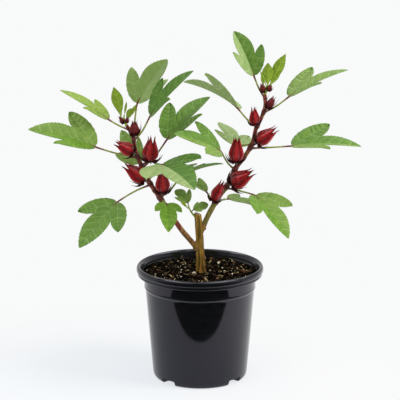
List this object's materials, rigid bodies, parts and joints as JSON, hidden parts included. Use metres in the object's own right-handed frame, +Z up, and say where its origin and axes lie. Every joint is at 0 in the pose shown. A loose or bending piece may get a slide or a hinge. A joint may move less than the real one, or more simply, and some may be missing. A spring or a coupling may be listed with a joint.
{
  "type": "potted roselle hibiscus",
  "caption": "Young roselle hibiscus with red calyces and three-lobed leaves, in a round black nursery pot.",
  "frame": {"origin": "centre of the flat underside of the pot", "axes": "+Z up along the pot, -Y towards the viewer of the pictured side, +X to that viewer's right"},
  "size_m": [0.4232, 0.2259, 0.4473],
  "materials": {
    "black_plastic": "glossy black",
    "potting_mix": "loose and crumbly",
    "tan_bark": "matt",
    "red_bark": "satin",
    "leaf": "soft satin",
    "young_leaf": "soft satin",
    "calyx": "waxy"
  },
  "bodies": {
    "root": {"pot": "black_plastic", "potting_mix": "potting_mix", "trunk": "tan_bark", "left_bough": "red_bark", "right_bough": "red_bark", "left_leaf_1": "leaf", "left_leaf_2": "leaf", "left_leaf_3": "leaf", "left_leaf_4": "leaf", "left_leaf_5": "leaf", "left_leaf_6": "leaf", "left_leaf_7": "leaf", "left_leaf_8": "leaf", "left_leaf_9": "leaf", "left_leaf_10": "leaf", "left_leaf_11": "leaf", "right_leaf_1": "leaf", "right_leaf_2": "leaf", "right_leaf_3": "leaf", "right_leaf_4": "leaf", "right_leaf_5": "leaf", "right_leaf_6": "leaf", "right_leaf_7": "leaf", "right_leaf_8": "leaf", "right_leaf_9": "leaf", "left_calyx_1": "calyx", "left_calyx_2": "calyx", "left_calyx_3": "calyx", "left_calyx_4": "calyx", "left_calyx_5": "calyx", "right_calyx_1": "calyx", "right_calyx_2": "calyx", "right_calyx_3": "calyx", "right_calyx_4": "calyx", "right_calyx_5": "calyx", "right_calyx_6": "calyx", "left_shoot_tip": "young_leaf", "right_shoot_tip": "young_leaf", "side_shoot": "young_leaf"}
  },
  "joints": []
}
